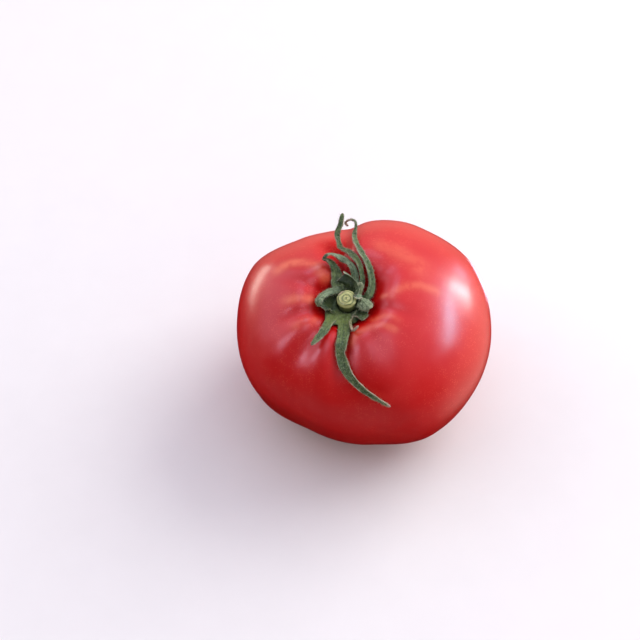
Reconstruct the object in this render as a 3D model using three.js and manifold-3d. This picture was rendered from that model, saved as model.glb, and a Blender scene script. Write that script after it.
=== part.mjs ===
// A whole ripe pink beefsteak tomato with its calyx and the stub of its stem, as picked.
// Millimetres, +Z up. The origin is the centre of the small flat spot that the fruit rests on.
// +X is the side of the broad right-hand lobes and -Y the side that the stem end leans towards.
import * as THREE from "three";
import { mergeVertices } from "three/addons/utils/BufferGeometryUtils.js";
import Module from "manifold-3d";

const wasm = await Module();
wasm.setup();

// Driving dimensions of the fruit
// Radius of the body at its widest level, every 30 degrees round the stem from +X
const PLAN_RADII = [46, 47, 45.2, 42.2, 41.8, 46.9, 45.8, 46.3, 42.7, 43.2, 46.6, 46];
const SHOULDER_RISE = 33; // from the widest level to the shoulders, before the cavity is sunk
const BASE_DROP = 33; // from the widest level to the blossom end
const FULLNESS = 2.25; // 2 is an ellipse, and more is squarer in profile
const CAVITY_DEPTH = 10.5; // of the dimple round the stem
// Degrees from the stem axis to where the dimple is a third as deep, every 30 degrees round the stem
const CAVITY_SPREAD = [19.5, 23.5, 24, 22, 19.5, 20, 19, 19.5, 20.5, 20.5, 19.5, 20.5];
const CAVITY_WALL = 3.4; // 2 is a bell shape, and more is a flatter floor with a steeper wall
const LEAN_FRONT = 9; // degrees that the stem end leans towards -Y
const LEAN_LEFT = 6; // degrees that it leans towards -X
const BODY_SHIFT = new THREE.Vector2(4.5, 3); // the body's middle, seen from the stem end
const PRESSED_FLAT = 0.75; // depth that the resting spot takes off the blossom end

// The creases between the lobes: direction round the stem, depth, half width in degrees, and how
// many degrees from the stem each one runs down the side
const CREASES = [
  { at: 37, depth: 1, width: 11, reach: 30 },
  { at: 93, depth: 3.4, width: 8, reach: 90 },
  { at: 105, depth: 2.8, width: 12, reach: 95 },
  { at: 155, depth: 0.6, width: 8, reach: 18 },
  { at: 196, depth: 1.2, width: 8, reach: 18 },
  { at: 229, depth: 1.6, width: 10, reach: 34 },
  { at: 265, depth: 2.7, width: 10, reach: 46 },
  { at: 277, depth: 1.2, width: 18, reach: 44 },
  { at: 300, depth: 0.5, width: 9, reach: 24 },
  { at: 343, depth: 0.6, width: 8, reach: 16 },
];

// Facets of the fruit
const SPOKES = 80;
const RINGS = 32;

// Heights over the skin, along the line from the fruit's middle
const CLEAR = 0.55; // kept under every part of the calyx
const BLADE = 0.7; // thickness of a sepal

// Stub of the stem, as a profile of radius and height over the skin of the cavity's floor
const STUB = [
  [0, 3],
  [3, 3],
  [3.2, 3.5],
  [3.2, 5],
  [3.3, 6.4],
  [3.45, 7.4],
  [3.35, 8.1],
  [2.9, 8.6],
  [2.0, 8.9],
  [0, 9],
];
const STUB_GAP = 0.3;

// Middle of the calyx, where the sepals meet: share of the way out to its rim, and height over the
// skin. The rim's angle from the stem axis is given every 30 degrees round the stem from +X
const CUP = [
  [0, CLEAR],
  [0.28, CLEAR],
  [0.55, CLEAR],
  [0.78, CLEAR],
  [0.94, CLEAR + 0.2],
  [1, CLEAR + 0.7],
  [0.92, 2.4],
  [0.75, 3.6],
  [0.58, 4.6],
  [0.39, 5.2],
  [0, 5.4],
];
const CUP_REACH = [13, 12.5, 12, 13, 14, 14, 15, 17.5, 20, 17.5, 15, 13.5];
const CUP_SPOKES = 36;

// Each sepal's route from the middle of the calyx to its tip: direction round the stem, degrees
// from the stem axis, and height over the skin. The other values are spread evenly along the route:
// width, roll (0 lies flat, face out) and curl (the arc of its cross-section, hollow side out)
const SEPALS = [
  {
    // front left, short and straight
    route: [
      [215, 5, 3.8],
      [231, 17.6, 3],
      [238, 23.6, 2.5],
      [238, 28.4, 2.7],
      [237, 33.5, 4.4],
    ],
    width: [4, 3.6, 3.1, 2.9, 1.6],
    roll: [0, 0, 10, 15],
    curl: [20, 40, 60],
  },
  {
    // front, long, kinked where it leaves the crease, and turned to the right at its tip
    route: [
      [255, 5, 3.8],
      [264, 20.4, 2.9],
      [264, 29, 2.4],
      [263, 34, 2],
      [265, 38.8, 1.6],
      [269, 44.1, 1.3],
      [274, 48.7, 1.3],
      [279, 52.8, 1.5],
      [284, 56.6, 1.9],
      [287.5, 59, 2.8],
      [290, 60.6, 4],
    ],
    width: [5, 4.2, 3.8, 3.2, 3.7, 3.2, 2.6, 2, 1.5, 1.1],
    roll: [0, 0, -10, 0, 10, 30],
    curl: [20, 50, 30, 110, 90, 60],
  },
  {
    // front right, narrow, rolled over, with its tip hooked up
    route: [
      [319, 3, 4],
      [300, 8.5, 3.6],
      [284, 12.5, 3.2],
      [278, 16.6, 2.8],
      [279.5, 21.9, 2.4],
      [285, 21.7, 3.2],
      [290, 20.7, 4.2],
    ],
    width: [4, 3.2, 2.6, 2.2, 1.1, 0.8, 0.8],
    roll: [0, 60, 120, 60],
    curl: [30, 80, 40],
  },
  {
    // right, short, in the shade of the next one
    route: [
      [330, 3, 3.6],
      [318, 11, 3],
      [310, 15.4, 2.6],
      [303, 18.3, 2.4],
    ],
    width: [6, 6.5, 4.6, 1.3],
    roll: [0, 0],
    curl: [20, 50],
  },
  {
    // right, turned over so that its back shows, and blunt
    route: [
      [22, 5, 3.6],
      [14, 8.4, 5],
      [350, 10.6, 6],
      [337, 13.6, 6],
      [330, 16.8, 4.9],
    ],
    width: [3.4, 4.8, 5.4, 5, 2.8],
    roll: [170, 180, 190],
    curl: [20, 60, 70],
  },
  {
    // right and back, the longest: its tip is a dry thread that curls over
    route: [
      [19, 5, 3.8],
      [11, 14.4, 3.6],
      [31, 19.5, 2.8],
      [48, 23.2, 2.1],
      [62, 26.6, 1.9],
      [73, 30, 1.7],
      [81, 36.3, 1.6],
      [84, 44.7, 1.9],
      [83.5, 47, 3.4],
      [84, 47.5, 5.4],
      [87, 49.1, 6.7],
      [91, 51.8, 6.2],
      [89, 50.2, 4.8],
    ],
    width: [3.2, 2.7, 2.6, 2.7, 2.7, 2.6, 2.1, 1.6, 0.9, 0.8, 0.8, 0.8, 0.8],
    roll: [0, 0, 10, 0, 0],
    curl: [40, 100, 80, 40, 20],
  },
  {
    // back, kinked to the left and raised off the skin at its tip
    route: [
      [46, 4, 4],
      [50, 16.2, 4.4],
      [62, 20.5, 3.8],
      [71, 24.1, 2.8],
      [80, 27, 2.3],
      [89.5, 34.2, 2.3],
      [96, 39.7, 2.4],
      [97, 42.5, 3],
      [97, 46.7, 4.6],
      [94, 49.1, 7],
      [92, 51.3, 10.2],
    ],
    width: [2.4, 1.8, 1.7, 2, 2.5, 2.6, 2.2, 1.9, 2, 2, 1.5],
    roll: [0, 0, 0, 30, 20],
    curl: [40, 90, 60, 90, 60],
  },
  {
    // back, standing up behind the stub like a hood
    route: [
      [60, 4, 3.4],
      [68, 8.8, 4.2],
      [65, 11.4, 5.8],
      [60, 12.8, 7.8],
    ],
    width: [5, 8, 12, 12.5],
    roll: [0, 0],
    curl: [20, 75, 85],
  },
  {
    // the hood's right margin, rolled over so that its back shows
    route: [
      [8, 7, 4],
      [26, 8.4, 6.3],
      [38, 10.8, 7.8],
      [46, 13.2, 8.8],
    ],
    width: [1.8, 2.2, 2.5, 2],
    roll: [170, 180],
    curl: [40, 60],
  },
  {
    // back, bent over to the left until it meets the tip of the next one
    route: [
      [61, 5, 4],
      [62, 11, 4],
      [68, 15.4, 4.2],
      [74, 19.2, 4.2],
      [83, 22.4, 4.4],
      [95, 27, 5.8],
      [104, 28.2, 5.4],
      [112, 27, 5.6],
      [118, 25.3, 5],
    ],
    width: [3.6, 3.4, 3.2, 2.6, 2.5, 2.6, 2.6, 2.5, 1.8],
    roll: [150, 180, 200],
    curl: [20, 40, 40],
  },
  {
    // back left
    route: [
      [126, 4, 4],
      [116, 14.8, 3.5],
      [108.5, 20.8, 2.8],
      [108.5, 24.8, 2.4],
      [113.5, 27, 2.8],
      [119, 27, 3.6],
    ],
    width: [3.8, 4, 3.9, 3, 2.2, 1.2],
    roll: [0, 0, -10],
    curl: [30, 60, 100],
  },
  {
    // left, broad, and bent up at its end like a scoop
    route: [
      [188, 3, 4],
      [181, 8.7, 3.4],
      [184, 13, 3],
      [187, 15.9, 3.4],
      [188, 17.4, 4.6],
    ],
    width: [6, 8, 8.6, 8, 5],
    roll: [0, 0, 0],
    curl: [30, 70, 50],
  },
  {
    // the scoop's upper margin, rolled over so that its back shows
    route: [
      [115, 10.5, 5.4],
      [141, 11.5, 6.2],
      [160, 13.5, 6.4],
      [177, 15.3, 6.2],
      [187, 17, 5.4],
      [196, 17.9, 4],
    ],
    width: [3, 3, 2.9, 2.8, 2.8, 2.2],
    roll: [170, 176, 180],
    curl: [60, 100, 80],
  },
];
const STATIONS = 3; // along each step of a route
const STRIPS = 4; // across a sepal
const SLIVER = 0.02; // facets narrower than this are merged into their neighbours

const rad = THREE.MathUtils.degToRad;
const { lerp, smoothstep } = THREE.MathUtils;

// Shortest way round from one direction to another, in radians
function turnBetween(a, b) {
  return Math.atan2(Math.sin(a - b), Math.cos(a - b));
}

// Smooth value at a direction round the stem, of values spread evenly round it from +X
function roundAbout(values, around) {
  const steps = values.length;
  const place = (((around / (2 * Math.PI)) % 1) + 1) * steps;
  const before = Math.floor(place);
  const share = smoothstep(place - before, 0, 1);
  return lerp(values[before % steps], values[(before + 1) % steps], share);
}

// Depth of the creases at a direction round the stem and an angle from the stem axis
function creaseDepth(polar, around) {
  const begun = smoothstep(polar, rad(4), rad(24));
  let depth = 0;
  for (const crease of CREASES) {
    const across = turnBetween(around, rad(crease.at)) / rad(crease.width);
    const along = Math.max(0, polar - rad(28)) / rad(crease.reach);
    depth += crease.depth * Math.exp(-across * across) * Math.exp(-2 * along * along);
  }
  return depth * begun;
}

// Distance of the skin from the middle of the fruit, before the body is shifted under the stem
function skinRadius(polar, around) {
  const wide = roundAbout(PLAN_RADII, around);
  const high = polar < Math.PI / 2 ? SHOULDER_RISE : BASE_DROP;
  const out = Math.abs(Math.sin(polar)) / wide;
  const up = Math.abs(Math.cos(polar)) / high;
  const body = Math.pow(out ** FULLNESS + up ** FULLNESS, -1 / FULLNESS);
  const spreading = rad(roundAbout(CAVITY_SPREAD, around));
  const cavity = CAVITY_DEPTH * Math.exp(-((polar / spreading) ** CAVITY_WALL));
  return body - cavity - creaseDepth(polar, around);
}

// The body's middle is not under the stem: how far it is shifted at a height
function bodyShift(z) {
  return BODY_SHIFT.clone().multiplyScalar(1 - smoothstep(z, -4, 26));
}

// A point of the skin, or above it, in the fruit's own frame: its +Z is the stem axis
function skinPoint(polar, around, lift = 0) {
  const r = skinRadius(polar, around) + lift;
  const p = new THREE.Vector3(
    r * Math.sin(polar) * Math.cos(around),
    r * Math.sin(polar) * Math.sin(around),
    r * Math.cos(polar),
  );
  const shift = bodyShift(p.z);
  return p.set(p.x + shift.x, p.y + shift.y, p.z);
}

// The fruit's group leans, so its frame holds the resting plane tilted
const fruitGroup = new THREE.Group();
fruitGroup.rotation.set(rad(LEAN_FRONT), -rad(LEAN_LEFT), 0);
fruitGroup.updateMatrixWorld(true);
const down = new THREE.Vector3(0, 0, -1).applyQuaternion(
  fruitGroup.quaternion.clone().invert(),
);

// The skin as rings from the stem end to the blossom end, closer together round the stem
function fruitPoints() {
  const points = [skinPoint(0, 0)];
  for (let ring = 1; ring < RINGS; ring++) {
    const polar = Math.PI * Math.pow(ring / RINGS, 1.15);
    for (let spoke = 0; spoke < SPOKES; spoke++)
      points.push(skinPoint(polar, (2 * Math.PI * spoke) / SPOKES));
  }
  points.push(skinPoint(Math.PI, 0));
  return points;
}

// Pushes the lowest part of the skin up to one plane, and returns the middle of that flat spot
function pressFlat(points) {
  const level = Math.max(...points.map((p) => p.dot(down))) - PRESSED_FLAT;
  const spot = new THREE.Box3();
  for (const p of points) {
    const below = p.dot(down) - level;
    if (below < 0) continue;
    p.addScaledVector(down, -below);
    spot.expandByPoint(p.clone().applyQuaternion(fruitGroup.quaternion));
  }
  return spot.getCenter(new THREE.Vector3());
}

// Closed surface of rings of points between two poles
function ringedGeometry(points, rings, spokes) {
  const last = points.length - 1;
  const at = (ring, spoke) => 1 + (ring - 1) * spokes + (spoke % spokes);
  const index = [];
  for (let spoke = 0; spoke < spokes; spoke++) {
    index.push(0, at(1, spoke), at(1, spoke + 1));
    for (let ring = 1; ring < rings - 1; ring++) {
      index.push(at(ring, spoke), at(ring + 1, spoke), at(ring + 1, spoke + 1));
      index.push(at(ring, spoke), at(ring + 1, spoke + 1), at(ring, spoke + 1));
    }
    index.push(last, at(rings - 1, spoke + 1), at(rings - 1, spoke));
  }
  const geometry = new THREE.BufferGeometry().setFromPoints(points).setIndex(index);
  geometry.computeVertexNormals();
  return geometry;
}

// Where a point stands over the skin, in the fruit's own frame
function overSkin(p) {
  const shift = bodyShift(p.z);
  const from = new THREE.Vector3(p.x - shift.x, p.y - shift.y, p.z);
  const polar = Math.acos(p.z / from.length());
  const lift = from.length() - skinRadius(polar, Math.atan2(from.y, from.x));
  return { lift, outward: from.normalize() };
}

// Raises points together until the lowest of them is clear of the skin
function raiseClear(together) {
  for (let turn = 0; turn < 3; turn++) {
    const lowest = together.map(overSkin).sort((a, b) => a.lift - b.lift)[0];
    if (lowest.lift >= CLEAR) return;
    for (const p of together) p.addScaledVector(lowest.outward, CLEAR - lowest.lift);
  }
}

// Smooth value at a share of the way through values that are spread evenly
function spread(values, share) {
  const place = share * (values.length - 1);
  const before = Math.min(Math.floor(place), values.length - 2);
  return lerp(values[before], values[before + 1], smoothstep(place - before, 0, 1));
}

// One sepal as a closed strip of even thickness
function sepalGeometry({ route, width, roll, curl }) {
  const middle = new THREE.CatmullRomCurve3(
    route.map(([around, polar, lift]) => skinPoint(rad(polar), rad(around), lift)),
    false,
    "centripetal",
  );
  const count = (route.length - 1) * STATIONS;
  const upper = [];
  const lower = [];
  for (let station = 0; station <= count; station++) {
    const share = station / count;
    const centre = middle.getPoint(share);
    const along = middle.getTangent(share);
    const out = overSkin(centre).outward;
    const face = out.addScaledVector(along, -out.dot(along)).normalize();
    face.applyAxisAngle(along, rad(spread(roll, share)));
    const across = along.clone().cross(face);
    const arc = rad(Math.max(4, spread(curl, share)));
    const bend = spread(width, share) / arc;
    for (let strip = 0; strip <= STRIPS; strip++) {
      const angle = arc * (strip / STRIPS - 0.5);
      const sideways = Math.sin(angle);
      const outwards = Math.cos(angle);
      const p = centre.clone();
      p.addScaledVector(across, bend * sideways);
      p.addScaledVector(face, bend * (1 - outwards));
      const normal = face.clone().multiplyScalar(outwards).addScaledVector(across, -sideways);
      const top = p.clone().addScaledVector(normal, BLADE / 2);
      const under = p.clone().addScaledVector(normal, -BLADE / 2);
      raiseClear([top, under]);
      upper.push(top);
      lower.push(under);
    }
  }
  return stripGeometry(upper, lower, count);
}

// Closed surface of two matching faces and the margin between them
function stripGeometry(upper, lower, count) {
  const row = STRIPS + 1;
  const under = upper.length;
  const index = [];
  const quad = (a, b, c, d) => index.push(a, b, c, a, c, d);
  for (let station = 0; station < count; station++) {
    const here = station * row;
    const next = here + row;
    for (let strip = 0; strip < STRIPS; strip++) {
      quad(here + strip, here + strip + 1, next + strip + 1, next + strip);
      index.push(under + here + strip, under + next + strip + 1, under + here + strip + 1);
      index.push(under + here + strip, under + next + strip, under + next + strip + 1);
    }
    quad(here, next, under + next, under + here);
    quad(here + STRIPS, under + here + STRIPS, under + next + STRIPS, next + STRIPS);
  }
  const end = count * row;
  for (let strip = 0; strip < STRIPS; strip++) {
    quad(strip, under + strip, under + strip + 1, strip + 1);
    quad(end + strip, end + strip + 1, under + end + strip + 1, under + end + strip);
  }
  return new THREE.BufferGeometry().setFromPoints([...upper, ...lower]).setIndex(index);
}

// The middle of the calyx: a thick disc that follows the cavity's floor
function cupGeometry() {
  const [top, ...rest] = CUP.toReversed();
  const base = rest.pop();
  const points = [skinPoint(0, 0, top[1])];
  for (const [share, lift] of rest) {
    for (let spoke = 0; spoke < CUP_SPOKES; spoke++) {
      const around = (2 * Math.PI * spoke) / CUP_SPOKES;
      points.push(skinPoint(share * rad(roundAbout(CUP_REACH, around)), around, lift));
    }
  }
  points.push(skinPoint(0, 0, base[1]));
  return ringedGeometry(points, CUP.length - 1, CUP_SPOKES);
}

// A closed geometry as a solid that can be joined and cut
function solidOf(geometry) {
  const bare = geometry.clone();
  bare.deleteAttribute("normal");
  bare.deleteAttribute("uv");
  const merged = mergeVertices(bare, 1e-4);
  return new wasm.Manifold(
    new wasm.Mesh({
      numProp: 3,
      vertProperties: merged.getAttribute("position").array,
      triVerts: new Uint32Array(merged.index.array),
    }),
  );
}

// Back from a solid to a geometry
function geometryOf(solid) {
  const mesh = solid.getMesh();
  const geometry = new THREE.BufferGeometry();
  geometry.setAttribute("position", new THREE.BufferAttribute(mesh.vertProperties, 3));
  geometry.setIndex(new THREE.BufferAttribute(mesh.triVerts, 1));
  geometry.computeVertexNormals();
  return geometry;
}

// A profile of radius and height over the cavity's floor, turned round the stem axis
function turned(profile, around) {
  const line = profile.map(([radius, height]) => new THREE.Vector2(radius, height));
  const geometry = new THREE.LatheGeometry(line, around);
  geometry.rotateX(Math.PI / 2);
  geometry.translate(0, 0, skinPoint(0, 0).z);
  return geometry;
}

const skin = new THREE.MeshStandardMaterial({ color: 0xc8252c, roughness: 0.28, metalness: 0 });
const leaf = new THREE.MeshStandardMaterial({ color: 0x5c7a48, roughness: 0.75, metalness: 0 });
const stalk = new THREE.MeshStandardMaterial({ color: 0xa3ad6c, roughness: 0.7, metalness: 0 });

const points = fruitPoints();
const restSpot = pressFlat(points);
const fruit = new THREE.Mesh(ringedGeometry(points, RINGS, SPOKES), skin);
fruit.name = "fruit";

const joined = wasm.Manifold.union([cupGeometry(), ...SEPALS.map(sepalGeometry)].map(solidOf));
const socket = turned(
  [
    [0, STUB[0][1] - STUB_GAP],
    [3.5 + STUB_GAP, STUB[0][1] - STUB_GAP],
    [3.5 + STUB_GAP, 9.1],
    [0, 9.1],
  ],
  32,
);
const opened = joined.subtract(solidOf(socket)).simplify(SLIVER);
const calyx = new THREE.Mesh(geometryOf(opened), leaf);
calyx.name = "calyx";

const stub = new THREE.Mesh(turned(STUB, 28), stalk);
stub.name = "stem_stub";

fruitGroup.position.copy(restSpot).negate();
fruitGroup.add(fruit, calyx, stub);

const tomato = new THREE.Group();
tomato.add(fruitGroup);

export default tomato;
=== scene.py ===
import math

import bpy
import numpy as np
from mathutils import Matrix, Quaternion, Vector


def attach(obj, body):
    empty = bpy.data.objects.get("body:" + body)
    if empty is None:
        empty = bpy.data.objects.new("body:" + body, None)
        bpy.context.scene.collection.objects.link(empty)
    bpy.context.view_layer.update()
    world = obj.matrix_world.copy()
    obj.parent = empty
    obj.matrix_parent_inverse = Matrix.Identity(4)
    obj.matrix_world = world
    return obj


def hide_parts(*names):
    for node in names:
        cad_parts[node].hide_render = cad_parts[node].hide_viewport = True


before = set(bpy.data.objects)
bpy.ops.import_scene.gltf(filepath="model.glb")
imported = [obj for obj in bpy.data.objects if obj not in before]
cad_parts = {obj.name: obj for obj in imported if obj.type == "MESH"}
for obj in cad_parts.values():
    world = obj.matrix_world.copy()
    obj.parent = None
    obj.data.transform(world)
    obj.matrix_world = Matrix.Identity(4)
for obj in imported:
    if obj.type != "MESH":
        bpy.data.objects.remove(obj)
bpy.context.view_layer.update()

MM = 0.001
rng = np.random.default_rng(7)  # the seed is fixed, so that each run gives the same result

# The fruit's surface, by the same formula as in the part's source, in millimetres

PLAN_RADII = [46, 47, 45.2, 42.2, 41.8, 46.9, 45.8, 46.3, 42.7, 43.2, 46.6, 46]
SHOULDER_RISE = 33
BASE_DROP = 33
FULLNESS = 2.25
CAVITY_DEPTH = 10.5
CAVITY_SPREAD = [19.5, 23.5, 24, 22, 19.5, 20, 19, 19.5, 20.5, 20.5, 19.5, 20.5]
CAVITY_WALL = 3.4
LEAN_FRONT = 9
LEAN_LEFT = 6
BODY_SHIFT = (4.5, 3)
PRESSED_FLAT = 0.75

# Creases: direction round the stem, depth, half width and reach in degrees
CREASES = [
    (37, 1.0, 11, 30),
    (93, 3.4, 8, 90),
    (105, 2.8, 12, 95),
    (155, 0.6, 8, 18),
    (196, 1.2, 8, 18),
    (229, 1.6, 10, 34),
    (265, 2.7, 10, 46),
    (277, 1.2, 18, 44),
    (300, 0.5, 9, 24),
    (343, 0.6, 8, 16),
]

CLEAR = 0.55  # from the skin to the underside of the calyx's middle
BLADE = 0.7  # thickness of a sepal

# Outline of the stub: radius, and height over the floor of the cavity
STUB = [
    (0, 3),
    (3, 3),
    (3.2, 3.5),
    (3.2, 5),
    (3.3, 6.4),
    (3.45, 7.4),
    (3.35, 8.1),
    (2.9, 8.6),
    (2.0, 8.9),
    (0, 9),
]

# Upper side of the calyx's middle: share of the way out to its rim, and height over the skin
CUP = [
    (0.58, 4.6),
    (0.75, 3.6),
    (0.92, 2.4),
    (1, CLEAR + 0.7),
    (0.94, CLEAR + 0.2),
    (0.78, CLEAR),
]
CUP_REACH = [13, 12.5, 12, 13, 14, 14, 15, 17.5, 20, 17.5, 15, 13.5]

# Sepals: route of direction, degrees from the stem axis and height over the skin, then the
# values that are spread evenly along it: width in millimetres, and roll and curl in degrees.
# For the looks, dry_tip gives how many millimetres before the tip the leaf begins to dry, and
# how much. dry_from, painted_shade_from and pale_from give the shares of the length where that
# begins and is full, and how much; painted_shade_from puts painted shade on the end.
# hollow gives how much painted shade darkens the whole upper face, and pale how pale
# the whole leaf is.
SEPALS = [
    {
        # front left, short and straight
        "route": [
            (215, 5, 3.8), (231, 17.6, 3), (238, 23.6, 2.5), (238, 28.4, 2.7),
            (237, 33.5, 4.4),
        ],
        "width": [4, 3.6, 3.1, 2.9, 1.6],
        "roll": [0, 0, 10, 15],
        "curl": [20, 40, 60],
    },
    {
        # front, long, kinked where it leaves the crease, and turned to the right at its tip
        "route": [
            (255, 5, 3.8), (264, 20.4, 2.9), (264, 29, 2.4), (263, 34, 2), (265, 38.8, 1.6),
            (269, 44.1, 1.3), (274, 48.7, 1.3), (279, 52.8, 1.5), (284, 56.6, 1.9),
            (287.5, 59, 2.8), (290, 60.6, 4),
        ],
        "width": [5, 4.2, 3.8, 3.2, 3.7, 3.2, 2.6, 2, 1.5, 1.1],
        "roll": [0, 0, -10, 0, 10, 30],
        "curl": [20, 50, 30, 110, 90, 60],
        "dry_tip": (1.6, 1.6),
        "pale_from": (0.78, 0.93, 0.6),
    },
    {
        # front right, narrow, rolled over, with its tip hooked up
        "route": [
            (319, 3, 4), (300, 8.5, 3.6), (284, 12.5, 3.2), (278, 16.6, 2.8),
            (279.5, 21.9, 2.4), (285, 21.7, 3.2), (290, 20.7, 4.2),
        ],
        "width": [4, 3.2, 2.6, 2.2, 1.1, 0.8, 0.8],
        "roll": [0, 60, 120, 60],
        "curl": [30, 80, 40],
        "dry_from": (0.45, 0.65, 0.8),
        "pale": 0.9,
    },
    {
        # right, short, in the shade of the next one
        "route": [
            (330, 3, 3.6), (318, 11, 3), (310, 15.4, 2.6), (303, 18.3, 2.4),
        ],
        "width": [6, 6.5, 4.6, 1.3],
        "roll": [0, 0],
        "curl": [20, 50],
        # painted shade on its upper face
        "hollow": 0.6,
    },
    {
        # right, turned over so that its back shows, and blunt
        "route": [
            (22, 5, 3.6), (14, 8.4, 5), (350, 10.6, 6), (337, 13.6, 6), (330, 16.8, 4.9),
        ],
        "width": [3.4, 4.8, 5.4, 5, 2.8],
        "roll": [170, 180, 190],
        "curl": [20, 60, 70],
        "pale": 0.3,
    },
    {
        # right and back, the longest: its tip is a dry thread that curls over
        "route": [
            (19, 5, 3.8), (11, 14.4, 3.6), (31, 19.5, 2.8), (48, 23.2, 2.1), (62, 26.6, 1.9),
            (73, 30, 1.7), (81, 36.3, 1.6), (84, 44.7, 1.9), (83.5, 47, 3.4), (84, 47.5, 5.4),
            (87, 49.1, 6.7), (91, 51.8, 6.2), (89, 50.2, 4.8),
        ],
        "width": [3.2, 2.7, 2.6, 2.7, 2.7, 2.6, 2.1, 1.6, 0.9, 0.8, 0.8, 0.8, 0.8],
        "roll": [0, 0, 10, 0, 0],
        "curl": [40, 100, 80, 40, 20],
        "dry_tip": (9, 1),
    },
    {
        # back, kinked to the left and raised off the skin at its tip
        "route": [
            (46, 4, 4), (50, 16.2, 4.4), (62, 20.5, 3.8), (71, 24.1, 2.8), (80, 27, 2.3),
            (89.5, 34.2, 2.3), (96, 39.7, 2.4), (97, 42.5, 3), (97, 46.7, 4.6), (94, 49.1, 7),
            (92, 51.3, 10.2),
        ],
        "width": [2.4, 1.8, 1.7, 2, 2.5, 2.6, 2.2, 1.9, 2, 2, 1.5],
        "roll": [0, 0, 0, 30, 20],
        "curl": [40, 90, 60, 90, 60],
    },
    {
        # back, standing up behind the stub like a hood
        "route": [
            (60, 4, 3.4), (68, 8.8, 4.2), (65, 11.4, 5.8), (60, 12.8, 7.8),
        ],
        "width": [5, 8, 12, 12.5],
        "roll": [0, 0],
        "curl": [20, 75, 85],
        # painted shade on its upper face
        "hollow": 0.9,
    },
    {
        # the hood's right margin, rolled over so that its back shows
        "route": [
            (8, 7, 4), (26, 8.4, 6.3), (38, 10.8, 7.8), (46, 13.2, 8.8),
        ],
        "width": [1.8, 2.2, 2.5, 2],
        "roll": [170, 180],
        "curl": [40, 60],
        "pale": 0.7,
    },
    {
        # back, bent over to the left until it meets the tip of the next one
        "route": [
            (61, 5, 4), (62, 11, 4), (68, 15.4, 4.2), (74, 19.2, 4.2), (83, 22.4, 4.4),
            (95, 27, 5.8), (104, 28.2, 5.4), (112, 27, 5.6), (118, 25.3, 5),
        ],
        "width": [3.6, 3.4, 3.2, 2.6, 2.5, 2.6, 2.6, 2.5, 1.8],
        "roll": [150, 180, 200],
        "curl": [20, 40, 40],
        # painted shade on its bent-over end
        "painted_shade_from": (0.88, 0.93, 0.9),
    },
    {
        # back left
        "route": [
            (126, 4, 4), (116, 14.8, 3.5), (108.5, 20.8, 2.8), (108.5, 24.8, 2.4),
            (113.5, 27, 2.8), (119, 27, 3.6),
        ],
        "width": [3.8, 4, 3.9, 3, 2.2, 1.2],
        "roll": [0, 0, -10],
        "curl": [30, 60, 100],
    },
    {
        # left, broad, and bent up at its end like a scoop
        "route": [
            (188, 3, 4), (181, 8.7, 3.4), (184, 13, 3), (187, 15.9, 3.4), (188, 17.4, 4.6),
        ],
        "width": [6, 8, 8.6, 8, 5],
        "roll": [0, 0, 0],
        "curl": [30, 70, 50],
        # painted shade on its upper face
        "hollow": 0.85,
    },
    {
        # the scoop's upper margin, rolled over so that its back shows
        "route": [
            (115, 10.5, 5.4), (141, 11.5, 6.2), (160, 13.5, 6.4), (177, 15.3, 6.2),
            (187, 17, 5.4), (196, 17.9, 4),
        ],
        "width": [3, 3, 2.9, 2.8, 2.8, 2.2],
        "roll": [170, 176, 180],
        "curl": [60, 100, 80],
        "pale": 0.15,
    },
]


def share_past(x, low, high):
    """0 up to low, 1 from high on, and rising evenly in between."""
    return np.clip((x - low) / (high - low), 0, 1)


def smoothstep(x, low, high):
    share = share_past(x, low, high)
    return share * share * (3 - 2 * share)


def round_about(values, around):
    """Smooth value at a direction round the stem, of values spread evenly round it."""
    steps = len(values)
    place = (np.mod(around / (2 * math.pi), 1) + 1) * steps
    before = np.floor(place).astype(int)
    share = smoothstep(place - before, 0, 1)
    table = np.array(values, float)
    return table[before % steps] * (1 - share) + table[(before + 1) % steps] * share


def crease_depth(polar, around):
    """Depth of the creases, which begin in the cavity and fade down the sides."""
    begun = smoothstep(polar, math.radians(4), math.radians(24))
    depth = 0
    for at, deep, width, reach in CREASES:
        turn = around - math.radians(at)
        across = np.arctan2(np.sin(turn), np.cos(turn)) / math.radians(width)
        along = np.maximum(0, polar - math.radians(28)) / math.radians(reach)
        depth = depth + deep * np.exp(-across * across) * np.exp(-2 * along * along)
    return depth * begun


def cavity_share(polar, around):
    """1 at the bottom of the cavity round the stem, and 0 well outside it."""
    spreading = np.radians(round_about(CAVITY_SPREAD, around))
    return np.exp(-((polar / spreading) ** CAVITY_WALL))


def skin_radius(polar, around):
    """Distance of the skin from the fruit's middle."""
    out = np.abs(np.sin(polar)) / round_about(PLAN_RADII, around)
    high = np.where(polar < math.pi / 2, SHOULDER_RISE, BASE_DROP)
    up = np.abs(np.cos(polar)) / high
    body = (out**FULLNESS + up**FULLNESS) ** (-1 / FULLNESS)
    return body - CAVITY_DEPTH * cavity_share(polar, around) - crease_depth(polar, around)


def body_shift(z):
    """How far the body sits off-centre under the stem, at a height."""
    share = 1 - smoothstep(z, -4, 26)
    return BODY_SHIFT[0] * share, BODY_SHIFT[1] * share


def skin_points(polar, around, lift=0.0):
    """Points over the skin, in the fruit's own frame, as rows of x, y and z."""
    polar, around = np.asarray(polar, float), np.asarray(around, float)
    r = skin_radius(polar, around) + lift
    x = r * np.sin(polar) * np.cos(around)
    y = r * np.sin(polar) * np.sin(around)
    z = r * np.cos(polar)
    dx, dy = body_shift(z)
    return np.stack([x + dx, y + dy, z], axis=-1)


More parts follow.
